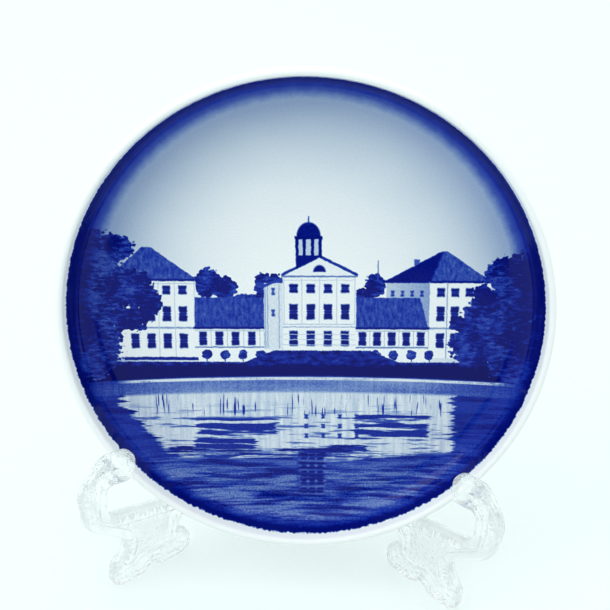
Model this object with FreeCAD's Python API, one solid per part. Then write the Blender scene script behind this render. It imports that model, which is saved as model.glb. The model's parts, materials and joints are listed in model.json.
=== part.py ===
import FreeCAD, Part
import math
import os

# Souvenir display plate standing in a clear hinged stand. Millimetres, +Z up, the plate faces -Y.
# The stand's two side frames are upright panels that meet in a V at a hinge behind the plate.

# Plate. Depths are measured backwards from the plane that the lip's crest touches.
PLATE_RADIUS = 40.0
PLATE_DEPTH = 12.2          # lip crest to the bottom of the foot ring
CREST_RADIUS = 39.35        # circle along which the lip is highest
CREST_ROUND = 0.6
WELL_RADIUS = 33.6          # flat picture floor
WELL_DEPTH = 7.0
WALL_FOOT_RADIUS = 37.9     # where the inner wall turns into the cove
WALL_FOOT_DEPTH = 3.9
COVE_MIDDLE = (36.3, 6.1)   # radius and depth halfway along the cove
FLANK_TOP_DEPTH = 0.75
FLANK_BOTTOM_DEPTH = 3.5
UNDERSIDE_MIDDLE = (37.9, 7.2)
SHOULDER_RADIUS = 33.2      # where the curved underside meets the base
BASE_DEPTH = 9.6            # underside of the plate, inside and outside the foot ring
FOOT_RING_RADIUS = 26.6     # middle of the ring
FOOT_RING_HALF_TOP = 1.6    # half width where the ring joins the base
FOOT_RING_HALF_TIP = 0.5
FOOT_RING_OUTER_MIDDLE = (27.6, 11.2)
FOOT_RING_INNER_MIDDLE = (25.6, 11.2)
HANGING_HOLE_RADIUS = 0.75
HANGING_HOLE_DEPTH = 10.8
HANGING_HOLE_SPACING = 9.0  # between the two cord holes through the foot ring
HANGING_HOLE_DRILL = 6.0    # length cut, centred on the ring's wall
PICTURE_TURN = 3.3          # degrees the plate is turned in its seat, anticlockwise from the front

# How the plate stands, measured from the hinge axis and the table
PLATE_LEAN = 15.0           # degrees back from upright
LIP_CENTRE_Y = -13.6
LIP_CENTRE_Z = 47.75

# Side frames. A panel point is its reach forward from the hinge axis and its height above the table.
HALF_SPREAD = 45.0          # degrees from the middle plane to each panel
PANEL_THICKNESS = 3.0
PANEL_INSET = 0.1           # hinge axis to the panel's inner face
EDGE_ROUND = 1.2
BEAD_WIDTH = 1.9            # raised border left around the sunk web
WEB_SINK = 0.6              # how far the web lies below the border on each face
WEB_CUT_MARGIN = 1.0        # how far the web's cut starts outside the face
KNOB_REACH = 37.8
KNOB_HEIGHT = 24.9
KNOB_RADIUS = 2.4

# Hinge
BARREL_RADIUS = 2.4
PIN_RADIUS = 1.0
PIN_CLEARANCE = 0.06
PIN_HEAD_RADIUS = 1.8
PIN_HEAD_HEIGHT = 0.8
BARREL_BOTTOM = 5.0
BARREL_TOP = 36.0
KNUCKLES = 5
KNUCKLE_GAP = 0.3

# Corners of a side frame: reach, height, rounding radius
FRAME_CORNERS = [
    (39.9, 0.0, 1.9),       # toe of the front foot
    (40.0, 4.2, 2.4),
    (36.1, 8.8, 2.9),       # waist of the front leg
    (45.2, 15.7, 5.0),      # shoulder
    (46.3, 23.2, 5.5),
    (41.0, 28.5, 3.4),      # top of the hook
    (35.3, 27.6, 2.1),
    (35.6, 21.9, 1.8),      # tip of the hook
    (40.9, 22.8, 0.9),
    (41.0, 16.4, 3.0),      # seat that the rim stands in
    (25.5, 12.7, 8.0),
    (19.4, 12.7, 2.0),
    (11.1, 20.5, 3.0),      # back rest
    (8.2, 32.0, 6.0),
    (8.2, 43.6, 2.75),      # top of the back rest
    (0.4, 43.6, 2.75),
    (0.4, 0.0, 1.6),        # rear foot
    (9.5, 0.0, 1.8),
    (12.6, 9.6, 3.0),       # rear arch
    (26.0, 9.6, 2.4),
    (26.0, 4.8, 0.8),
    (23.5, 4.8, 1.6),       # rear lobe of the front leg
    (23.5, 0.0, 2.2),
    (30.4, 0.0, 1.6),
    (31.8, 1.9, 1.2),       # small arch under the instep
    (33.8, 0.0, 1.6),
]


def vec(x, y, z=0.0):
    return FreeCAD.Vector(x, y, z)


def plate_profile():
    """Half section of the plate: radius along X, height above the foot ring's bottom along Z."""
    def at(radius, depth):
        return vec(radius, 0, PLATE_DEPTH - depth)

    def arc(a, b, c):
        return Part.Arc(at(*a), at(*b), at(*c)).toShape()

    def line(a, b):
        return Part.makeLine(at(*a), at(*b))

    floor = (WELL_RADIUS, WELL_DEPTH)
    wall_foot = (WALL_FOOT_RADIUS, WALL_FOOT_DEPTH)
    wall_top = (CREST_RADIUS - CREST_ROUND, CREST_ROUND)
    flank_top = (PLATE_RADIUS, FLANK_TOP_DEPTH)
    flank_bottom = (PLATE_RADIUS, FLANK_BOTTOM_DEPTH)
    shoulder = (SHOULDER_RADIUS, BASE_DEPTH)
    ring_out = (FOOT_RING_RADIUS + FOOT_RING_HALF_TOP, BASE_DEPTH)
    ring_in = (FOOT_RING_RADIUS - FOOT_RING_HALF_TOP, BASE_DEPTH)
    tip_out = (FOOT_RING_RADIUS + FOOT_RING_HALF_TIP, PLATE_DEPTH)
    tip_in = (FOOT_RING_RADIUS - FOOT_RING_HALF_TIP, PLATE_DEPTH)
    edges = [
        line((0, WELL_DEPTH), floor),
        arc(floor, COVE_MIDDLE, wall_foot),
        line(wall_foot, wall_top),
        arc(wall_top, (CREST_RADIUS, 0), flank_top),
        line(flank_top, flank_bottom),
        arc(flank_bottom, UNDERSIDE_MIDDLE, shoulder),
        line(shoulder, ring_out),
        arc(ring_out, FOOT_RING_OUTER_MIDDLE, tip_out),
        line(tip_out, tip_in),
        arc(tip_in, FOOT_RING_INNER_MIDDLE, ring_in),
        line(ring_in, (0, BASE_DEPTH)),
        line((0, BASE_DEPTH), (0, WELL_DEPTH)),
    ]
    return Part.Face(Part.Wire(edges))


def plate_placement():
    """Stands the plate up: its local Z becomes its face's normal, its local Y its upward direction."""
    lean = math.radians(PLATE_LEAN)
    normal = vec(0, -math.cos(lean), math.sin(lean))
    side = vec(1, 0, 0)
    upward = normal.cross(side)
    foot = vec(0, LIP_CENTRE_Y, LIP_CENTRE_Z) - normal * PLATE_DEPTH
    turn = FreeCAD.Rotation(vec(0, 0, 1), PICTURE_TURN)
    return FreeCAD.Placement(foot, FreeCAD.Rotation(side, upward, normal) * turn)


def make_plate():
    plate = plate_profile().revolve(vec(0, 0), vec(0, 0, 1), 360)
    hole_angle = math.degrees(math.asin(HANGING_HOLE_SPACING / 2 / FOOT_RING_RADIUS))
    start = FOOT_RING_RADIUS - HANGING_HOLE_DRILL / 2
    for angle in (90 - hole_angle, 90 + hole_angle):
        outward = vec(math.cos(math.radians(angle)), math.sin(math.radians(angle)))
        centre = outward * start + vec(0, 0, PLATE_DEPTH - HANGING_HOLE_DEPTH)
        plate = plate.cut(Part.makeCylinder(HANGING_HOLE_RADIUS, HANGING_HOLE_DRILL, centre, outward))
    plate.Placement = plate_placement()
    return plate


def rounded_wire(corners):
    """Closed wire through the corners, each rounded with its own radius, in the XZ plane."""
    edges = []
    starts = []
    ends = []
    count = len(corners)
    for index, (x, z, radius) in enumerate(corners):
        here = vec(x, 0, z)
        before = vec(corners[index - 1][0], 0, corners[index - 1][1]) - here
        after = vec(corners[(index + 1) % count][0], 0, corners[(index + 1) % count][1]) - here
        before.normalize()
        after.normalize()
        half_angle = before.getAngle(after) / 2
        trim = radius / math.tan(half_angle)
        bisector = before + after
        bisector.normalize()
        centre = here + bisector * (radius / math.sin(half_angle))
        middle = centre - bisector * radius
        starts.append(here + before * trim)
        ends.append(here + after * trim)
        edges.append(Part.Arc(starts[-1], middle, ends[-1]).toShape())
    ordered = []
    for index in range(count):
        ordered.append(edges[index])
        ordered.append(Part.makeLine(ends[index], starts[(index + 1) % count]))
    return Part.Wire(ordered)


def make_panel():
    """One side frame's panel: reach along X, thickness along Y from 0, height along Z."""
    outline = Part.Face(rounded_wire(FRAME_CORNERS))
    panel = outline.extrude(vec(0, PANEL_THICKNESS, 0))
    rims = [edge for edge in panel.Edges if edge.BoundBox.YLength < PANEL_THICKNESS / 2]
    panel = panel.makeFillet(EDGE_ROUND, rims)
    web = outline.makeOffset2D(-BEAD_WIDTH)
    for face in web.Faces:
        for level in (-WEB_CUT_MARGIN, PANEL_THICKNESS - WEB_SINK):
            sink = face.copy()
            sink.translate(vec(0, level - face.BoundBox.YMin, 0))
            panel = panel.cut(sink.extrude(vec(0, WEB_CUT_MARGIN + WEB_SINK, 0)))
    knob = Part.makeSphere(KNOB_RADIUS, vec(KNOB_REACH, PANEL_THICKNESS / 2, KNOB_HEIGHT))
    return panel.fuse(knob).removeSplitter()


def knuckle_span(index):
    pitch = (BARREL_TOP - BARREL_BOTTOM) / KNUCKLES
    low = BARREL_BOTTOM + pitch * index
    return low + KNUCKLE_GAP / 2, low + pitch - KNUCKLE_GAP / 2


def make_side_frame(side):
    """side is 1 for the frame on +X and -1 for the one on -X; the hinge axis is at the origin."""
    frame = make_panel()
    frame.translate(vec(0, PANEL_INSET, 0))
    own = 0 if side > 0 else 1
    for index in range(KNUCKLES):
        low, high = knuckle_span(index)
        if index % 2 == own:
            frame = frame.fuse(Part.makeCylinder(BARREL_RADIUS, high - low, vec(0, 0, low)))
        else:
            clear = BARREL_RADIUS + KNUCKLE_GAP
            height = high - low + 2 * KNUCKLE_GAP
            frame = frame.cut(Part.makeCylinder(clear, height, vec(0, 0, low - KNUCKLE_GAP)))
    bore_radius = PIN_RADIUS + PIN_CLEARANCE
    head_radius = PIN_HEAD_RADIUS + KNUCKLE_GAP
    head_height = PIN_HEAD_HEIGHT + 2 * KNUCKLE_GAP
    head_seat = BARREL_TOP - KNUCKLE_GAP / 2
    frame = frame.cut(Part.makeCylinder(bore_radius, BARREL_TOP, vec(0, 0, BARREL_BOTTOM / 2)))
    frame = frame.cut(Part.makeCylinder(head_radius, head_height, vec(0, 0, head_seat)))
    frame = frame.removeSplitter()
    frame.rotate(vec(0, 0), vec(0, 0, 1), -90 + HALF_SPREAD)
    if side < 0:
        frame = frame.mirror(vec(0, 0), vec(1, 0, 0))
    return frame


def make_hinge_pin():
    length = BARREL_TOP - BARREL_BOTTOM
    shank = Part.makeCylinder(PIN_RADIUS, length, vec(0, 0, BARREL_BOTTOM))
    head = Part.makeCylinder(PIN_HEAD_RADIUS, PIN_HEAD_HEIGHT, vec(0, 0, BARREL_TOP))
    return shank.fuse(head).removeSplitter()


def exact_box(shape):
    return shape.optimalBoundingBox(False, False)


def main():
    os.makedirs("parts", exist_ok=True)
    nodes = {
        "souvenir_plate": make_plate(),
        "left_side_frame": make_side_frame(-1),
        "right_side_frame": make_side_frame(1),
        "hinge_pin": make_hinge_pin(),
    }
    boxes = [exact_box(shape) for shape in nodes.values()]
    front = min(box.YMin for box in boxes)
    back = max(box.YMax for box in boxes)
    middle = (front + back) / 2
    for name, shape in nodes.items():
        shape.translate(vec(0, -middle, 0))
        shape.exportStep("parts/" + name + ".step")
        print(name, "valid", shape.isValid(), "solids", len(shape.Solids),
              "volume", round(shape.Volume, 1))
    print("hinge axis y", round(-middle, 4))
    print("depth", round(back - front, 3))
    print("height", round(max(box.ZMax for box in boxes), 3))


main()
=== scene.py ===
import json
import math

import bmesh
import bpy
from mathutils import Matrix, Vector


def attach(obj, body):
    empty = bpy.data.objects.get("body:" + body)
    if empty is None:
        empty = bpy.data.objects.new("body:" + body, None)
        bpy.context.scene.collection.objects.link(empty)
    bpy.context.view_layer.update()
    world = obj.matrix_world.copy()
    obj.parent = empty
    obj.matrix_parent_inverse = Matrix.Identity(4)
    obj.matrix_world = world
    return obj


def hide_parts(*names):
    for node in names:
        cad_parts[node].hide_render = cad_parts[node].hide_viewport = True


# Souvenir plate in a clear folding stand. Lengths are in metres, except in the plate's own drawing,
# where the pattern is laid out in millimetres from the middle of the plate.
MM = 0.001

# Plate section, millimetres. Depths run backwards from the plane that the lip's crest touches.
# A pair is a radius and a depth.
PLATE_RADIUS = 40.0
PLATE_DEPTH = 12.2
CREST_RADIUS = 39.35
CREST_ROUND = 0.6
WELL_RADIUS = 33.6
WELL_DEPTH = 7.0
COVE_MIDDLE = (36.3, 6.1)
WALL_FOOT = (37.9, 3.9)
FLANK_TOP = (PLATE_RADIUS, 0.75)
FLANK_BOTTOM = (PLATE_RADIUS, 3.5)
UNDERSIDE_MIDDLE = (37.9, 7.2)
BASE_DEPTH = 9.6
SHOULDER = (33.2, BASE_DEPTH)
FOOT_RING_RADIUS = 26.6
FOOT_RING_HALF_TOP = 1.6
FOOT_RING_HALF_TIP = 0.5
FOOT_RING_OUTER_MIDDLE = (27.6, 11.2)
FOOT_RING_INNER_MIDDLE = (25.6, 11.2)
CORD_HOLE_RADIUS = 0.75
CORD_HOLE_DEPTH = 10.8
CORD_HOLE_DRILL = 6.0       # length of the cutting cylinder
CORD_HOLE_FACETS = 40
PLATE_SEGMENTS = 360

# The plate's texture map, in shares of its width: two discs and a corner for the drilled holes
FRONT_DISC = 0.395          # radii of the discs
BACK_DISC = 0.175
MAP_MARGIN = 0.005
DRILL_MAP_PLACE = Vector((0.02, 0.9))
DRILL_MAP_SIZE = 0.05

# How the picture lies on the plate, millimetres and degrees
PICTURE_HEIGHT = 5.2        # its edge above the well's floor
PICTURE_SCALE = 0.975
PICTURE_TURN = -0.8
PICTURE_SHIFT = (0.33, -0.32)
PICTURE_SLOPE = 18.2        # how steeply it was laid up the wall of the well

# Heights and places in the picture, millimetres from the middle of the plate
END_HOUSE_WINDOWS = (1.35, 1.5, 2.5)      # width, and the heights on the top and lower floors
LANTERN_COLUMNS = (-1.0, 0.15, 1.45, 2.65)
GABLE_MIDDLE = 2.55
GABLE_HALF = 6.1
GABLE_TOP = 8.0
GABLE_RISE = 3.1
SHORE_HEIGHT = -12.35
SHORE_CURVE = 0.0009        # how fast the shore falls away to the sides

# The brush
NAVY = 0.95                 # strength of ink
LINE_WIDTH = 0.09           # half the width of a thin line, millimetres

# The clear stand, millimetres and degrees
HALF_SPREAD = 45            # from the middle plane to each panel
WEB_MIDDLE = 1.6            # middle of a panel's thickness, from the hinge axis
WEB_HALF = 1.0

# Studio, metres
FLOOR_RADIUS = 2.0
FLOOR_GLOW = 0.535
TENT_LIGHT = 0.93
OPENING_LIGHT = 0.08
OPENING_EDGE = 0.88         # cosines of the angle from the front, where the tent starts to
OPENING_MIDDLE = 0.975      # dim and where it is darkest
STAND_MIDDLE = (0, 0, 0.04)

# Camera, degrees and metres
CAMERA_ELEVATION = 32.8
CAMERA_AZIMUTH = 0.3
CAMERA_ROLL = 4.24
CAMERA_DISTANCE = 0.230
CAMERA_RAISED = 0.0024      # aim above the lip's centre, in the picture's own plane
SENSOR_WIDTH = 36.0         # millimetres
FOCAL_SHARE = 2.368         # focal length as a share of the sensor's width

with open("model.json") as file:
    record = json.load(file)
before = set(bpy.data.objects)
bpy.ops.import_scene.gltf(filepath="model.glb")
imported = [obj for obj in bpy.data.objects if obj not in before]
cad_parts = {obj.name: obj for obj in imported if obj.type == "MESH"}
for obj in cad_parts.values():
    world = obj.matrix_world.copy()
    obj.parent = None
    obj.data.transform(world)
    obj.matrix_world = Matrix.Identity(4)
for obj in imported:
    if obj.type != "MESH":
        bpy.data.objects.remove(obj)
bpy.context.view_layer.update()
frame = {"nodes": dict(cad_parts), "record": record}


# ---------------------------------------------------------------- node graphs

class Value:
    """A number in a node graph. Arithmetic on it adds Math nodes."""

    def __init__(self, graph, socket):
        self.graph = graph
        self.socket = socket

    def __add__(self, other):
        return self.graph.math("ADD", self, other)

    def __radd__(self, other):
        return self.graph.math("ADD", other, self)

    def __sub__(self, other):
        return self.graph.math("SUBTRACT", self, other)

    def __rsub__(self, other):
        return self.graph.math("SUBTRACT", other, self)

    def __mul__(self, other):
        return self.graph.math("MULTIPLY", self, other)

    def __rmul__(self, other):
        return self.graph.math("MULTIPLY", other, self)

    def size(self):
        return self.graph.math("ABSOLUTE", self)

    def least(self, other):
        return self.graph.math("MINIMUM", self, other)

    def most(self, other):
        return self.graph.math("MAXIMUM", self, other)

    def fraction(self):
        return self.graph.math("FRACT", self)

    def scaled(self, factor, offset, clamp=False):
        return self.graph.math("MULTIPLY_ADD", self, factor, offset, clamp=clamp)

    def above(self, edge, soft):
        """1 where the number is over edge, 0 under it, with a soft change between."""
        return self.scaled(1 / soft, 0.5 - edge / soft, clamp=True)

    def below(self, edge, soft):
        return self.scaled(-1 / soft, 0.5 + edge / soft, clamp=True)

    def within(self, low, high, soft):
        return (self - (low + high) / 2).size().below((high - low) / 2, soft)


class Graph:
    """Short calls for building one material's nodes."""

    def __init__(self, name):
        self.material = bpy.data.materials.new(name)
        self.material.use_nodes = True
        self.tree = self.material.node_tree
        self.tree.nodes.clear()
        self.made_before = {}
        self.output = self.node("ShaderNodeOutputMaterial")

    def node(self, kind, **settings):
        made = self.tree.nodes.new(kind)
        for key, value in settings.items():
            setattr(made, key, value)
        return made

    def feed(self, socket, value):
        if isinstance(value, Value):
            self.tree.links.new(value.socket, socket)
        elif isinstance(value, bpy.types.NodeSocket):
            self.tree.links.new(value, socket)
        else:
            socket.default_value = value

    @staticmethod
    def mark(value):
        """What tells one input of a node from another: the socket that feeds it, or its constant."""
        socket = value.socket if isinstance(value, Value) else value
        if isinstance(socket, bpy.types.NodeSocket):
            return socket.node.name, socket.identifier
        return value

    def shared(self, kind, inputs, **settings):
        """A node with these inputs (socket: value), made only once for equal inputs and settings."""
        marks = tuple((at, self.mark(value)) for at, value in inputs.items())
        key = (kind, tuple(sorted(settings.items())), marks)
        if key not in self.made_before:
            made = self.node(kind, **settings)
            for at, value in inputs.items():
                self.feed(made.inputs[at], value)
            self.made_before[key] = made
        return self.made_before[key]

    def math(self, operation, *inputs, clamp=False):
        node = self.shared("ShaderNodeMath", dict(enumerate(inputs)), operation=operation)
        made = Value(self, node.outputs[0])
        if not clamp:
            return made
        # A clamp node of its own keeps a long chain of layers in order when it is compiled.
        return Value(self, self.shared("ShaderNodeClamp", {"Value": made}).outputs[0])

    def mix(self, mask, under, over):
        made = self.node("ShaderNodeMix", data_type="FLOAT")
        self.feed(made.inputs[0], mask)
        self.feed(made.inputs[2], under)
        self.feed(made.inputs[3], over)
        return Value(self, made.outputs[0])

    def millimetres(self):
        """The surface point in the object's own axes, in millimetres."""
        where = self.shared("ShaderNodeTexCoord", {}).outputs["Object"]
        return self.mapped(where, scale=(1 / MM, 1 / MM, 1 / MM))

    def mapped(self, point, scale=(1, 1, 1), rotation=(0, 0, 0), location=(0, 0, 0)):
        inputs = {"Vector": point, "Scale": scale, "Rotation": rotation, "Location": location}
        return self.shared("ShaderNodeMapping", inputs).outputs[0]

    def split(self, point):
        """The three coordinates of a point, as separate numbers."""
        axes = ((1, 0, 0), (0, 1, 0), (0, 0, 1))
        parts = [self.shared("ShaderNodeVectorMath", {0: point, 1: axis}, operation="DOT_PRODUCT")
                 for axis in axes]
        return [Value(self, part.outputs["Value"]) for part in parts]

    def noise(self, point, scale, detail=2.0, roughness=0.5):
        inputs = {"Vector": point, "Scale": scale, "Detail": detail, "Roughness": roughness}
        return self.shared("ShaderNodeTexNoise", inputs)

    def noise_value(self, *args, **settings):
        return Value(self, self.noise(*args, **settings).outputs[0])

    def cells(self, point, scale):
        """Distance to the nearest of a scatter of points, and a random tone for each of them."""
        made = self.shared("ShaderNodeTexVoronoi", {"Vector": point, "Scale": scale},
                           voronoi_dimensions="2D", feature="F1")
        split = self.shared("ShaderNodeSeparateColor", {0: made.outputs["Color"]})
        return Value(self, made.outputs["Distance"]), Value(self, split.outputs[0])

    def ramp(self, value, stops):
        made = self.node("ShaderNodeValToRGB")
        elements = made.color_ramp.elements
        while len(elements) < len(stops):
            elements.new(0.5)
        for element, (place, colour) in zip(elements, stops):
            element.position = place
            element.color = (*colour, 1.0)
        self.feed(made.inputs[0], value)
        return made.outputs[0]

    def bump(self, height, distance, strength=1.0):
        made = self.node("ShaderNodeBump")
        made.inputs["Strength"].default_value = strength
        made.inputs["Distance"].default_value = distance
        self.feed(made.inputs["Height"], height)
        return made.outputs[0]

    def surface(self, **inputs):
        shader = self.node("ShaderNodeBsdfPrincipled")
        for name, value in inputs.items():
            self.feed(shader.inputs[name.replace("_", " ")], value)
        self.tree.links.new(shader.outputs[0], self.output.inputs["Surface"])
        return shader


def screen_colour(red, green, blue):
    """A colour given as screen values from 0 to 255, as the linear numbers that shaders take."""
    def linear(level):
        share = level / 255
        return share / 12.92 if share <= 0.04045 else ((share + 0.055) / 1.055) ** 2.4
    return tuple(linear(level) for level in (red, green, blue))


# ---------------------------------------------------------------- the picture under the glaze

class Painting:
    """Layers of blue ink, 0 for bare porcelain to 1 for the deepest navy, painted back to front.

    Places, sizes and soft edges are in millimetres from the middle of the plate."""

    def __init__(self, graph, point):
        self.graph = graph
        self.point = point
        wobble = graph.noise(point, 1.3, detail=2.0)
        self.grain = self.noise(3.2, 3.2, detail=3.0, roughness=0.65)
        self.masses = self.noise(0.22, 0.22)
        self.lobes = self.noise(0.5, 0.5, detail=3.0, roughness=0.7)
        self.strokes = self.noise(0.75, 1.9, detail=3.0, roughness=0.6)
        self.leaf, self.leaf_tone = graph.cells(graph.mapped(point, scale=(1.25, 1.5, 0)), 1.0)
        self.true_x, self.true_y, _ = graph.split(point)
        split = graph.node("ShaderNodeSeparateColor")
        graph.feed(split.inputs[0], wobble.outputs[1])
        self.x = self.true_x + Value(graph, split.outputs[0]).scaled(0.3, -0.15)
        self.y = self.true_y + Value(graph, split.outputs[1]).scaled(0.3, -0.15)
        self.ink = None

    def noise(self, across, up, detail=2.0, roughness=0.5):
        """Noise with so many cells to a millimetre sideways and upwards."""
        point = self.graph.mapped(self.point, scale=(across, up, 0))
        return self.graph.noise_value(point, 1.0, detail=detail, roughness=roughness)

    def paint(self, mask, ink):
        self.ink = self.graph.mix(mask, self.ink, ink)

    def box(self, left, right, low, high, soft=0.16):
        return self.x.within(left, right, soft) * self.y.within(low, high, soft)

    def blobs(self, spots):
        """Distance into a cluster of ovals (x, y, half width, half height): 1 in a middle, 0 at an edge."""
        nearest = None
        for cx, cy, across, up in spots:
            inputs = {0: self.point, 1: (1 / across, 1 / up, 0), 2: (-cx / across, -cy / up, 0)}
            shift = self.graph.shared("ShaderNodeVectorMath", inputs, operation="MULTIPLY_ADD").outputs[0]
            length = self.graph.shared("ShaderNodeVectorMath", {0: shift}, operation="LENGTH")
            here = Value(self.graph, length.outputs["Value"])
            nearest = here if nearest is None else nearest.least(here)
        return 1.0 - nearest

    def foliage(self, spots, ragged=0.5, dark=0.98, light=0.74, lit=0.55):
        """A clump of trees: a lobed, leafy edge, and lighter strokes where the light catches it."""
        loose = self.lobes.scaled(ragged, -ragged / 2) + self.leaf.scaled(-0.32, 0.13)
        mask = (self.blobs(spots) + loose + self.grain.scaled(0.12, -0.06)).above(0.03, 0.07)
        strokes = (self.strokes + self.masses.scaled(0.9, -0.45)).above(lit, 0.2)
        strokes = strokes * self.leaf_tone.scaled(0.6, 0.5)
        self.paint(mask, strokes.scaled(light - dark, dark) + self.grain.scaled(0.22, -0.12))

    def windows(self, first, pitch, count, rows, width, height, ink=0.97):
        """A grid of dark windows, each nipped in and a little paler at its cross bar."""
        left = first - pitch / 2
        across = (self.x.scaled(1 / pitch, -left / pitch).fraction() - 0.5).size()
        span = self.x.within(left, left + pitch * count, 0.05)
        for middle in rows:
            up = (self.y - middle).size()
            bar = (up - height * 0.08).size().below(0.07, 0.2)
            columns = (across + bar * (0.12 / pitch)).below(width / 2 / pitch, 0.22 / pitch)
            self.paint(columns * span * up.below(height / 2, 0.26), ink - bar * 0.16)

    def lines(self, places, low, high, ink, width=LINE_WIDTH):
        """Thin upright brush lines."""
        for place in places:
            self.paint(self.box(place - width, place + width, low, high, 0.14), ink)


def paint_sky(art, radius):
    distance = art.graph.math("POWER", radius * (1 / 35.0), 3.2)
    glow = distance.scaled(0.42, 0.02)
    clouds = art.noise(0.03, 0.06)
    art.ink = glow + clouds.scaled(0.14, -0.07) * glow.above(0.05, 0.1) + art.grain.scaled(0.12, -0.06)


def paint_far_trees(art):
    art.foliage([(-15.2, 3.6, 2.2, 2.6), (-12.6, 2.8, 2.2, 2.0), (-9.0, 0.6, 3.4, 1.2)])
    art.foliage([(-6.3, 3.2, 1.7, 2.2), (-4.6, 2.6, 2.0, 2.6), (11.4, 3.2, 1.7, 2.1), (9.3, 1.6, 1.6, 1.3)])
    art.paint(art.box(11.75, 11.93, 4.0, 7.4), 0.7)


def roof(art, left, right, eaves, ridge, ridge_left, ridge_right, ink=0.84):
    """A hipped roof as a trapezium between the eaves and the ridge."""
    rise = ridge - eaves
    slope_left = (ridge_left - left) / rise
    slope_right = (right - ridge_right) / rise
    up = art.y - eaves
    inner = (art.x - up * slope_left).above(left, 0.2) * (art.x + up * slope_right).below(right, 0.2)
    mask = inner * art.y.within(eaves, ridge, 0.18)
    tiles = art.noise(2.0, 0.8)
    art.paint(mask, tiles.scaled(0.5, ink - 0.28) + art.grain.scaled(0.3, -0.15))
    art.paint(art.box(left - 0.2, right + 0.2, eaves - 0.25, eaves + 0.15), NAVY)


def wall(art, left, right, low, high, ink=0.03):
    art.paint(art.box(left, right, low, high), art.grain.scaled(0.16, ink - 0.07))


def paint_wings(art):
    for left, right in ((-17.5, -4.4), (8.3, 20.0)):
        wall(art, left, right, -9.6, -3.7)
        roof(art, left, right, -3.9, 1.2, left + 0.1, right - 1.4, ink=0.82)
        bays = 5
        pitch = (right - left) / bays
        first = left + pitch / 2
        art.windows(first, pitch, bays, (-5.75,), 1.25, 2.3)
        edges = [left + pitch * index for index in range(1, bays)]
        art.lines(edges, -7.1, -4.2, 0.4, width=0.05)
        art.paint(art.box(left, right, -7.35, -7.1), 0.62)
        art.paint(art.box(left, right, -4.5, -4.35), 0.35)


def paint_pavilions(art):
    """The two end houses: three storeys under hipped roofs, the right one with a shaded side."""
    width, short, tall = END_HOUSE_WINDOWS
    wall(art, -30.0, -17.2, -9.0, 4.3)
    roof(art, -31.5, -16.9, 4.1, 9.5, -25.6, -24.2, ink=0.8)
    art.windows(-27.1, 2.6, 4, (2.4,), width, short)
    art.windows(-27.1, 2.6, 4, (-1.6, -6.2), width, tall)
    art.paint(art.box(-29.6, -17.2, -4.1, -3.8), 0.5)
    art.paint(art.box(-29.6, -17.2, 3.4, 3.55), 0.3)
    art.lines((-17.4, -20.6, -23.2), -9.0, 4.0, 0.3, width=0.06)

    shade = art.true_x.scaled(0.03, -0.12) + art.grain.scaled(0.3, -0.15)
    art.paint(art.box(13.2, 20.0, -3.0, 4.0), shade)
    art.windows(14.2, 1.55, 4, (1.9,), 0.6, 1.0, ink=0.85)
    wall(art, 20.0, 29.8, -9.0, 4.2)
    art.paint(art.box(17.5, 18.4, 5.0, 7.6), 0.7)
    roof(art, 12.7, 29.8, 3.9, 8.9, 21.8, 22.8, ink=0.78)
    hip = (art.x + (art.y - 3.9) * -0.4).below(20.2, 0.4) * art.box(12.9, 24.0, 3.9, 8.8, 0.3)
    inner = (art.x - (art.y - 3.9) * 1.8).above(13.0, 0.3)
    art.paint(hip * inner, art.grain.scaled(0.2, 0.86))
    art.windows(21.9, 2.25, 4, (2.1,), 1.3, 1.45)
    art.windows(21.9, 2.25, 4, (-1.5, -6.0), 1.3, 2.5)
    art.paint(art.box(20.0, 29.4, -4.1, -3.8), 0.5)
    art.lines((20.0, 22.9), -9.0, 3.8, 0.5, width=0.08)


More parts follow.
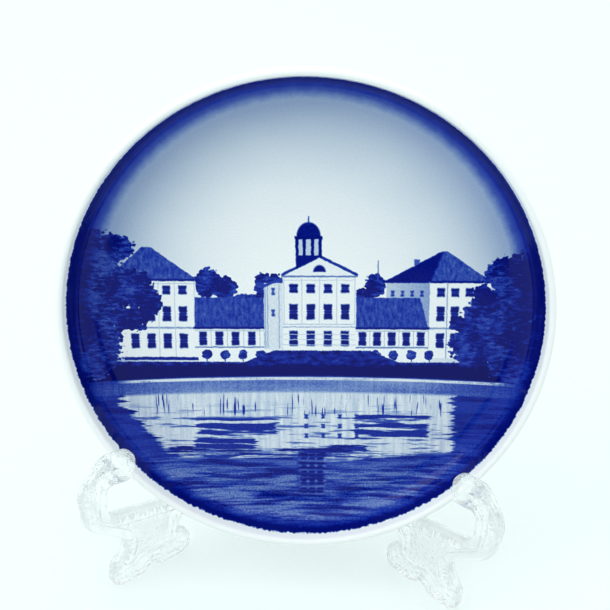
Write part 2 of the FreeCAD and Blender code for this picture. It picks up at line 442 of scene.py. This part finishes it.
def paint_middle_house(art):
    """The middle block: a shaded side, four bays on three floors, a gable and a small lantern."""
    art.paint(art.box(-6.3, -3.2, -7.6, 3.6), art.grain.scaled(0.4, -0.05))
    art.windows(-4.85, 2.0, 1, (2.2, -1.4), 0.6, 1.2, ink=0.8)
    art.lines((-6.1, -5.75, -3.9), -7.4, 3.4, 0.5, width=0.07)
    slope = art.y + (art.x + 3.0) * -0.42
    art.paint(slope.within(4.25, 4.75, 0.16) * art.x.within(-6.6, -2.8, 0.2), 0.8)
    wall(art, -3.3, 8.4, -7.7, 4.9, ink=0.03)

    slope_line = (art.x - GABLE_MIDDLE).size().scaled(-GABLE_RISE / GABLE_HALF, GABLE_TOP)
    under_slope = slope_line - art.y
    art.paint(art.y.above(4.75, 0.12) * under_slope.above(0.0, 0.12), art.grain.scaled(0.16, -0.02))
    eave_span = art.x.within(GABLE_MIDDLE - GABLE_HALF, GABLE_MIDDLE + GABLE_HALF, 0.1)
    art.paint(under_slope.within(-0.3, 0.25, 0.18) * eave_span, 0.86)
    art.paint(art.box(-3.4, 8.5, 4.55, 4.85), 0.62)
    art.paint(art.box(-3.0, 8.1, 4.05, 4.15), 0.3)

    fan = art.blobs([(GABLE_MIDDLE, 5.45, 1.0, 1.15)]).above(0.0, 0.25) * art.y.above(5.45, 0.14)
    art.paint(fan, NAVY)
    art.windows(-1.6, 2.75, 4, (2.7,), 1.35, 1.5)
    art.windows(-1.6, 2.75, 4, (-1.2, -5.7), 1.35, 2.6)
    art.lines((-3.1, -0.25, 2.55, 5.3, 8.2), -3.2, 4.4, 0.3, width=0.06)
    for height, ink in ((-3.3, 0.4), (-3.75, 0.6), (-5.0, 0.22), (-5.9, 0.22), (-6.8, 0.3)):
        course = art.box(-3.3, 8.4, height - 0.07, height + 0.07, 0.14)
        art.paint(course * art.grain.above(0.35, 0.3), ink)

    art.paint(art.box(-1.2, 2.9, 5.6, 8.3) * under_slope.below(0.1, 0.2), NAVY)
    art.paint(art.box(-1.0, 2.7, 8.2, 11.2), 0.25)
    for place in LANTERN_COLUMNS:
        art.paint(art.box(place - 0.26, place + 0.26, 8.0, 11.2), NAVY)
    art.paint(art.box(-1.4, 3.05, 10.8, 11.35), 0.97)
    cap = art.blobs([(0.83, 11.3, 1.9, 2.3)]).above(0.0, 0.12) * art.y.above(11.2, 0.12)
    art.paint(cap, art.grain.scaled(0.3, 0.8))
    art.paint(art.box(0.72, 0.94, 13.2, 14.6), 0.85)


def paint_garden(art):
    """Clipped hedges and shrubs in front of the house, then the dark bank of the lake."""
    for first in (-15.6, 11.6):
        spots = [(first + 2.9 * index, -8.5, 0.85, 0.85) for index in range(4)]
        art.foliage(spots, ragged=0.8, dark=0.95, light=0.7)
        art.lines([spot[0] for spot in spots], -9.7, -9.0, 0.8)
    art.paint(art.box(-29.0, -17.0, -9.5, -8.95), 0.92)
    crest = (art.x - 2.9).size().scaled(-0.42, -4.5).least(-7.75).most(-9.75)
    depth = crest - art.y + art.grain.scaled(0.3, -0.15)
    turf = art.noise(0.8, 1.3, detail=3.0)
    shade = turf.scaled(0.5, 0.67) + art.y.below(-10.7, 1.4) * 0.3 + art.grain.scaled(0.2, -0.1)
    art.paint(depth.above(0.0, 0.14), shade)


def paint_side_trees(art):
    near_left = [(-27.6, 2.6, 3.6, 3.4), (-27.9, -2.4, 4.0, 2.2), (-24.6, 0.8, 2.0, 2.4)]
    far_left = [(-35.5, 6.5, 6.6, 6.8), (-33.0, 2.0, 5.0, 8.4), (-35.6, -5.5, 6.6, 8.2),
                (-29.8, 9.4, 3.2, 2.4), (-38.0, 9.5, 4.4, 4.2)]
    right = [(35.5, 3.6, 6.2, 5.2), (32.0, 5.0, 3.2, 3.0), (31.0, -2.4, 6.0, 4.4), (27.8, -6.6, 4.4, 4.2),
             (35.0, -8.0, 6.4, 6.4)]
    near_right = [(25.6, -3.4, 2.4, 1.4), (28.6, 1.6, 2.0, 1.8)]
    art.foliage(far_left, ragged=0.42, light=0.70, lit=0.52)
    art.foliage(near_left, ragged=1.4, light=0.74, lit=0.58)
    art.foliage(right, ragged=0.45, light=0.76, lit=0.54)
    art.foliage(near_right, ragged=1.4, light=0.8, lit=0.6)


def paint_lake(art):
    """Still water: a pale reflection of the house, broken by dark ripples."""
    graph = art.graph
    ripples = art.noise(0.12, 1.45, detail=4.0, roughness=0.62)
    broad = art.noise(0.06, 0.5)
    drips = art.noise(1.3, 0.13, detail=3.0)
    combs = ((art.true_y + broad.scaled(2.6, 0.0)) * (1 / 1.3)).fraction()
    combs = (combs - 0.5).size() + ripples.scaled(0.9, -0.45)
    speckle = art.grain.scaled(0.44, -0.22)

    lower = art.true_y.below(-26.5, 6.0)
    glints = (ripples + broad.scaled(0.6, -0.3)).above(0.48, 0.2)
    deep = 0.95 - glints * lower.scaled(0.22, 0.12)
    deep = deep + speckle * lower.scaled(0.7, 0.5)

    pale = drips.above(0.5, 0.45).scaled(0.24, 0.08) + art.grain.scaled(0.3, -0.15)
    stretch = ripples.scaled(8.0, -4.0)
    left = (-17.2 - art.true_y).most(0.0).scaled(0.86, -29.6)
    inside = (art.true_x + stretch - left).above(0.0, 0.6) * (art.true_x + stretch).below(24.2, 0.6)
    low = art.true_y + broad.scaled(6.0, -3.0) + ripples.scaled(9.0, -4.5)
    inside = inside * low.above(-25.8, 0.7)
    reflection = graph.mix(ripples.above(0.56, 0.06) * art.true_y.below(-18.0, 3.0), pale, 0.66)

    groups = ((-17.6, -4.4, -22.4, -19.4, 0.12), (8.4, 20.4, -23.0, -18.7, 0.16),
              (-18.0, -8.0, -25.4, -23.0, 0.05), (4.2, 10.4, -25.6, -24.4, 0.05))
    for near, far, under, top, thin in groups:
        patch = (art.true_x + stretch * 0.8).within(near, far, 0.5)
        patch = patch * (art.true_y + ripples.scaled(1.6, -0.8)).within(under, top, 0.35)
        reflection = graph.mix(patch * combs.above(thin, 0.12), reflection, art.grain.scaled(0.4, 0.68))
    water = graph.mix(inside, deep, reflection)
    shore = (art.true_x * art.true_x) * -SHORE_CURVE + SHORE_HEIGHT
    below_shore = shore - art.true_y
    art.paint(below_shore.above(0.0, 0.1), water)

    strokes = art.noise(2.8, 0.2, detail=1.0)
    marks = strokes.above(0.64, 0.06) * art.true_y.within(-19.0, -15.4, 0.8) * art.masses.above(0.42, 0.1)
    art.paint(marks * inside, 0.86)
    art.windows(0.4, 2.75, 4, (-19.2, -20.9, -22.6), 0.7, 0.8, ink=0.9)
    column = (art.true_x + stretch * 0.4).within(-0.9, 3.5, 0.5)
    broken = (ripples + art.grain.scaled(0.5, -0.25)).below(0.58, 0.16)
    column = column * art.true_y.within(-33.5, -25.4, 0.5) * broken
    art.paint(column, combs.above(0.2, 0.3).scaled(0.32, 0.64))
    art.windows(0.0, 1.35, 3, (-26.4, -27.9, -29.4, -30.9, -32.4), 0.95, 1.0, ink=0.98)

    near = below_shore.within(-0.2, 2.6, 0.5)
    ends = (art.true_x.size() - 18.0).most(0.0) * 0.014
    art.paint(near, drips.scaled(0.2, 0.49) + broad.scaled(0.3, -0.15) + speckle + ends)
    line = below_shore.within(0.0, 0.45, 0.16) * art.true_x.within(-29.0, 33.0, 3.0)
    art.paint(line * (ripples + art.grain.scaled(0.6, 0.0)).above(0.72, 0.2), 0.12)


def paint_rim(art, radius, height):
    """The dabbed navy border up the wall of the well, and bare porcelain above it."""
    dabs, _ = art.graph.cells(art.point, 1.9)
    climb = height + dabs.scaled(0.5, -0.2) + art.lobes.scaled(0.9, -0.45)
    dark = climb.above(2.9, 2.2).most((radius + art.lobes).above(36.4, 3.4) * art.true_y.above(-8.0, 16.0))
    art.paint(dark, 0.98)
    art.paint(climb.above(PICTURE_HEIGHT, 0.3), 0.0)


INK_COLOURS = [
    (0.0, screen_colour(240, 245, 246)),
    (0.10, screen_colour(219, 229, 236)),
    (0.25, screen_colour(188, 204, 221)),
    (0.40, screen_colour(152, 174, 208)),
    (0.55, screen_colour(110, 138, 194)),
    (0.70, screen_colour(54, 82, 172)),
    (0.83, screen_colour(20, 50, 160)),
    (0.93, screen_colour(4, 23, 133)),
    (1.0, screen_colour(0, 5, 98)),
]


def painted_porcelain():
    graph = Graph("painted_porcelain")
    solid = graph.millimetres()
    x, y, z = graph.split(solid)
    radius = graph.math("SQRT", x * x + y * y)
    slope = math.radians(PICTURE_SLOPE)
    tall = PICTURE_SCALE / math.cos(slope)
    sink = PICTURE_SCALE * math.tan(slope) * WELL_DEPTH
    picture = graph.mapped(solid, scale=(PICTURE_SCALE, tall, tall),
                           rotation=(slope, 0, math.radians(PICTURE_TURN)),
                           location=(PICTURE_SHIFT[0], PICTURE_SHIFT[1] - sink, 0))
    art = Painting(graph, picture)
    paint_sky(art, radius)
    paint_far_trees(art)
    paint_pavilions(art)
    paint_wings(art)
    paint_middle_house(art)
    paint_garden(art)
    paint_side_trees(art)
    paint_lake(art)
    paint_rim(art, radius, z + WELL_DEPTH)

    facing = graph.shared("ShaderNodeTexCoord", {}).outputs["Normal"]
    front = graph.split(facing)[2].above(0.12, 0.12)
    ink = graph.math("MULTIPLY", art.ink, front, clamp=True)
    colour = graph.ramp(ink, INK_COLOURS)

    bare = z.below(0.35 - PLATE_DEPTH, 0.3) * (radius - FOOT_RING_RADIUS).size().below(1.3, 0.5)
    tint = graph.node("ShaderNodeMix", data_type="RGBA")
    graph.feed(tint.inputs[0], bare)
    graph.feed(tint.inputs[6], colour)
    tint.inputs[7].default_value = (*screen_colour(214, 208, 198), 1)

    grit = art.grain.scaled(bare, 0.0)
    wave = graph.noise_value(solid, 0.16, detail=1.0)
    normal = graph.bump(grit.scaled(0.5, 0.0) + wave, 0.00006, 0.6)
    roughness = bare.scaled(0.55, 0.07) + art.grain.scaled(0.03, -0.015)
    graph.surface(Base_Color=tint.outputs[2], Roughness=roughness, Normal=normal, IOR=1.5,
                  Specular_IOR_Level=0.14)
    return graph.material


# ---------------------------------------------------------------- the plate's shape

def plate_axes():
    """The plate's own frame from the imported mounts: sideways, upward and outward, the middle of its
    lip, and half the gap between the cord holes in millimetres."""
    mounts = {mount["name"]: mount for mount in frame["record"]["mounts"]}
    ring = mounts["foot_ring"]
    outward = -Vector(ring["axis"])
    left = Vector(mounts["left_cord_hole"]["pos_m"])
    right = Vector(mounts["right_cord_hole"]["pos_m"])
    sideways = (right - left).normalized()
    upward = outward.cross(sideways)
    centre = Vector(ring["pos_m"]) - sideways * (FOOT_RING_RADIUS * MM) + outward * (PLATE_DEPTH * MM)
    half_gap = (right - left).length / 2 / MM
    return sideways, upward, outward, centre, half_gap


def arc_points(start, middle, end, steps):
    """Points along the circle through three points, the first one left out."""
    ax, ay = start
    bx, by = middle
    cx, cy = end
    aa = ax * ax + ay * ay
    bb = bx * bx + by * by
    cc = cx * cx + cy * cy
    twice = 2 * (ax * (by - cy) + bx * (cy - ay) + cx * (ay - by))
    ux = (aa * (by - cy) + bb * (cy - ay) + cc * (ay - by)) / twice
    uy = (aa * (cx - bx) + bb * (ax - cx) + cc * (bx - ax)) / twice
    radius = math.hypot(ax - ux, ay - uy)
    first = math.atan2(ay - uy, ax - ux)
    turn_middle = (math.atan2(by - uy, bx - ux) - first) % math.tau
    turn_end = (math.atan2(cy - uy, cx - ux) - first) % math.tau
    if turn_middle > turn_end:
        turn_end -= math.tau
    angles = [first + turn_end * step / steps for step in range(1, steps + 1)]
    return [(ux + radius * math.cos(a), uy + radius * math.sin(a)) for a in angles]


def line_points(start, end, steps):
    """Points along a straight line, the first one left out."""
    run = end[0] - start[0]
    rise = end[1] - start[1]
    return [(start[0] + run * step / steps, start[1] + rise * step / steps) for step in range(1, steps + 1)]


def plate_section():
    """Radius and depth along the plate's section, from the middle of the well round to the back."""
    wall_top = (CREST_RADIUS - CREST_ROUND, CREST_ROUND)
    ring_out = (FOOT_RING_RADIUS + FOOT_RING_HALF_TOP, BASE_DEPTH)
    ring_in = (FOOT_RING_RADIUS - FOOT_RING_HALF_TOP, BASE_DEPTH)
    tip_out = (FOOT_RING_RADIUS + FOOT_RING_HALF_TIP, PLATE_DEPTH)
    tip_in = (FOOT_RING_RADIUS - FOOT_RING_HALF_TIP, PLATE_DEPTH)
    points = [(0.0, WELL_DEPTH)]
    points += line_points(points[-1], (WELL_RADIUS, WELL_DEPTH), 22)
    points += arc_points(points[-1], COVE_MIDDLE, WALL_FOOT, 14)
    points += line_points(points[-1], wall_top, 4)
    points += arc_points(points[-1], (CREST_RADIUS, 0.0), FLANK_TOP, 10)
    points += line_points(points[-1], FLANK_BOTTOM, 3)
    points += arc_points(points[-1], UNDERSIDE_MIDDLE, SHOULDER, 14)
    points += line_points(points[-1], ring_out, 3)
    points += arc_points(points[-1], FOOT_RING_OUTER_MIDDLE, tip_out, 5)
    points += line_points(points[-1], tip_in, 2)
    points += arc_points(points[-1], FOOT_RING_INNER_MIDDLE, ring_in, 5)
    points += line_points(points[-1], (0.0, BASE_DEPTH), 14)
    return points


def spun_mesh(name, points, segments):
    """Closed mesh made by spinning a section, given as radius and height, about the Z axis.

    Its map is two discs, the front one large, and each disc's radius runs along the section."""
    mesh = bpy.data.meshes.new(name)
    made = bmesh.new()
    layer = made.loops.layers.uv.new("OFBake")
    lengths = [0.0]
    for (r0, z0), (r1, z1) in zip(points, points[1:]):
        lengths.append(lengths[-1] + math.hypot(r1 - r0, z1 - z0))
    turn = next(index for index, (radius, height) in enumerate(points)
                if radius == PLATE_RADIUS * MM and height < -FLANK_TOP[1] * MM)
    rings = []
    for radius, height in points:
        if radius < 1e-6:
            rings.append([made.verts.new((0, 0, height))])
            continue
        ring = []
        for step in range(segments):
            angle = math.tau * step / segments
            ring.append(made.verts.new((radius * math.cos(angle), radius * math.sin(angle), height)))
        rings.append(ring)

    def place(index, step, on_front):
        """Where a corner lies in the map."""
        angle = math.tau * step / segments
        if on_front:
            reach = FRONT_DISC * lengths[index] / lengths[turn]
            middle = FRONT_DISC + MAP_MARGIN
        else:
            reach = BACK_DISC * (lengths[-1] - lengths[index]) / (lengths[-1] - lengths[turn])
            middle = 1 - BACK_DISC - MAP_MARGIN
        return middle + reach * math.cos(angle), middle + reach * math.sin(angle)

    for index, (near, far) in enumerate(zip(rings, rings[1:])):
        on_front = index < turn
        for step in range(segments):
            after = (step + 1) % segments
            near_first = (near[step % len(near)], index, step)
            far_first = (far[step % len(far)], index + 1, step)
            corners = [near_first]
            if len(near) > 1:
                corners.append((near[after], index, step + 1))
            if len(far) > 1:
                corners.append((far[after], index + 1, step + 1))
            corners.append(far_first)
            face = made.faces.new([corner[0] for corner in corners])
            for loop, (_, ring, spoke) in zip(face.loops, corners):
                loop[layer].uv = place(ring, spoke, on_front)
    bmesh.ops.recalc_face_normals(made, faces=made.faces)
    made.to_mesh(mesh)
    made.free()
    return mesh


def apply_modifiers(thing):
    bpy.context.view_layer.update()
    evaluated = thing.evaluated_get(bpy.context.evaluated_depsgraph_get())
    mesh = bpy.data.meshes.new_from_object(evaluated)
    thing.modifiers.clear()
    thing.data = mesh


def drill_cord_holes(plate, half_gap):
    """Cuts the two cord holes through the foot ring."""
    swing = math.asin(half_gap / FOOT_RING_RADIUS)
    for side in (-1, 1):
        angle = math.pi / 2 + side * swing
        outward = Vector((math.cos(angle), math.sin(angle), 0))
        middle = outward * FOOT_RING_RADIUS * MM
        middle.z = -CORD_HOLE_DEPTH * MM
        turn = outward.to_track_quat("Z", "Y").to_matrix().to_4x4()
        bpy.ops.mesh.primitive_cylinder_add(vertices=CORD_HOLE_FACETS, radius=CORD_HOLE_RADIUS * MM,
                                            depth=CORD_HOLE_DRILL * MM)
        drill = bpy.context.object
        drill.data.uv_layers[0].name = "OFBake"
        for corner in drill.data.uv_layers[0].data:
            corner.uv = DRILL_MAP_PLACE + corner.uv * DRILL_MAP_SIZE
        drill.matrix_world = Matrix.Translation(middle) @ turn
        cut = plate.modifiers.new("cord_hole", "BOOLEAN")
        cut.object = drill
        cut.operation = "DIFFERENCE"
        cut.solver = "EXACT"
        apply_modifiers(plate)
        bpy.data.objects.remove(drill)


def make_plate():
    sideways, upward, outward, centre, half_gap = plate_axes()
    section = [(radius * MM, -depth * MM) for radius, depth in plate_section()]
    name = "porcelain_plate"
    plate = bpy.data.objects.new(name, spun_mesh(name, section, PLATE_SEGMENTS))
    bpy.context.scene.collection.objects.link(plate)
    drill_cord_holes(plate, half_gap)
    for polygon in plate.data.polygons:
        polygon.use_smooth = True
    plate.data.materials.clear()
    plate.data.materials.append(painted_porcelain())
    axes = Matrix((sideways, upward, outward)).transposed().to_4x4()
    plate.matrix_world = Matrix.Translation(centre) @ axes
    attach(plate, "plate")
    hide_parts("souvenir_plate")


# ---------------------------------------------------------------- the clear stand

def clear_plastic(name, panel_normal, pivot):
    """Clear moulded plastic. The sunk web is stippled; the raised border and the hinge are polished."""
    graph = Graph(name)
    point = graph.millimetres()
    x, y, _ = graph.split(point)
    across = (x - pivot[0] / MM) * panel_normal[0] + (y - pivot[1] / MM) * panel_normal[1]
    web = (across - WEB_MIDDLE).size().below(WEB_HALF, 0.12)
    cells = graph.node("ShaderNodeTexVoronoi", feature="SMOOTH_F1")
    graph.feed(cells.inputs["Vector"], point)
    cells.inputs["Scale"].default_value = 2.4
    cells.inputs["Smoothness"].default_value = 0.6
    pebbles = Value(graph, cells.outputs["Distance"])
    flow = graph.noise_value(point, 0.5, detail=2.0)
    height = pebbles * web + flow.scaled(0.35, 0.0)
    normal = graph.bump(height, 0.00016, 0.6)
    haze = graph.noise_value(point, 0.3, detail=2.0)
    graph.surface(Base_Color=(0.975, 0.99, 0.99, 1), Roughness=haze.scaled(0.05, 0.0), Normal=normal,
                  IOR=1.46, Transmission_Weight=1.0, Alpha=0.5)
    return graph.material


def dress_stand():
    pivot = Vector(frame["record"]["behaviour"]["joints"][1]["pos_m"])
    spread = math.radians(HALF_SPREAD)
    for node, side in (("left_side_frame", -1), ("right_side_frame", 1)):
        panel_normal = (side * math.cos(spread), math.sin(spread))
        material = clear_plastic("clear_" + node, panel_normal, pivot)
        piece = frame["nodes"][node]
        piece.data.materials.clear()
        piece.data.materials.append(material)
    pin = frame["nodes"]["hinge_pin"]
    pin.data.materials.clear()
    pin.data.materials.append(clear_plastic("clear_pin", (0, 1), pivot + Vector((0, 1, 0))))


# ---------------------------------------------------------------- studio and camera

def light_table():
    """A pale table lit from within, so that shadows on it stay faint."""
    bpy.ops.mesh.primitive_circle_add(vertices=128, radius=FLOOR_RADIUS, fill_type="NGON", location=(0, 0, 0))
    floor = bpy.context.object
    floor.name = "light_table"
    graph = Graph("opal_sheet")
    fibres = graph.noise_value(graph.millimetres(), 0.8, detail=3.0)
    colour = graph.ramp(fibres, [(0.0, (0.35, 0.40, 0.395)), (1.0, (0.38, 0.43, 0.425))])
    graph.surface(Base_Color=colour, Roughness=0.75, Emission_Color=(0.90, 1.0, 0.99, 1),
                  Emission_Strength=FLOOR_GLOW)
    floor.data.materials.append(graph.material)


def area_light(name, place, aim, size, power):
    data = bpy.data.lights.new(name, "AREA")
    data.shape = "DISK"
    data.size = size
    data.energy = power
    lamp = bpy.data.objects.new(name, data)
    bpy.context.scene.collection.objects.link(lamp)
    lamp.location = place
    lamp.rotation_mode = "QUATERNION"
    lamp.rotation_quaternion = (Vector(aim) - Vector(place)).to_track_quat("-Z", "Y")


def studio():
    """An even white tent with a dim opening in front, and two soft boxes."""
    world = bpy.data.worlds.new("studio")
    bpy.context.scene.world = world
    world.use_nodes = True
    nodes = world.node_tree.nodes
    links = world.node_tree.links
    nodes.clear()
    out = nodes.new("ShaderNodeOutputWorld")
    background = nodes.new("ShaderNodeBackground")
    direction = nodes.new("ShaderNodeTexCoord")
    facing = nodes.new("ShaderNodeVectorMath")
    facing.operation = "DOT_PRODUCT"
    facing.inputs[1].default_value = (0, -1, 0)
    opening = nodes.new("ShaderNodeMapRange")
    opening.interpolation_type = "SMOOTHSTEP"
    opening.inputs["From Min"].default_value = OPENING_EDGE
    opening.inputs["From Max"].default_value = OPENING_MIDDLE
    opening.inputs["To Min"].default_value = TENT_LIGHT
    opening.inputs["To Max"].default_value = OPENING_LIGHT
    background.inputs["Color"].default_value = (0.95, 0.99, 0.985, 1)
    links.new(direction.outputs["Generated"], facing.inputs[0])
    links.new(facing.outputs["Value"], opening.inputs["Value"])
    links.new(opening.outputs[0], background.inputs["Strength"])
    links.new(background.outputs[0], out.inputs[0])
    area_light("top_softbox", (0.0, 0.15, 0.85), STAND_MIDDLE, size=0.9, power=2.0)
    area_light("left_softbox", (-0.55, -0.25, 0.65), STAND_MIDDLE, size=0.5, power=1.6)


def camera():
    """A long lens above the table's front edge, turned a few degrees about its own line of sight."""
    centre = plate_axes()[3]
    elevation = math.radians(CAMERA_ELEVATION)
    azimuth = math.radians(CAMERA_AZIMUTH)
    back = Vector((-math.sin(azimuth) * math.cos(elevation), -math.cos(azimuth) * math.cos(elevation),
                   math.sin(elevation)))
    look = (-back).to_track_quat("-Z", "Y").to_matrix().to_4x4()
    turn = look @ Matrix.Rotation(math.radians(CAMERA_ROLL), 4, "Z")
    aim = centre + turn.to_3x3() @ Vector((0, CAMERA_RAISED, 0))
    data = bpy.data.cameras.new("camera")
    data.sensor_width = SENSOR_WIDTH
    data.lens = SENSOR_WIDTH * FOCAL_SHARE
    data.clip_start = 0.01
    data.clip_end = 20
    eye = bpy.data.objects.new("camera", data)
    bpy.context.scene.collection.objects.link(eye)
    eye.matrix_world = Matrix.Translation(aim + back * CAMERA_DISTANCE) @ turn
    bpy.context.scene.camera = eye


make_plate()
dress_stand()
light_table()
studio()
camera()
bpy.context.scene.view_settings.view_transform = "Standard"
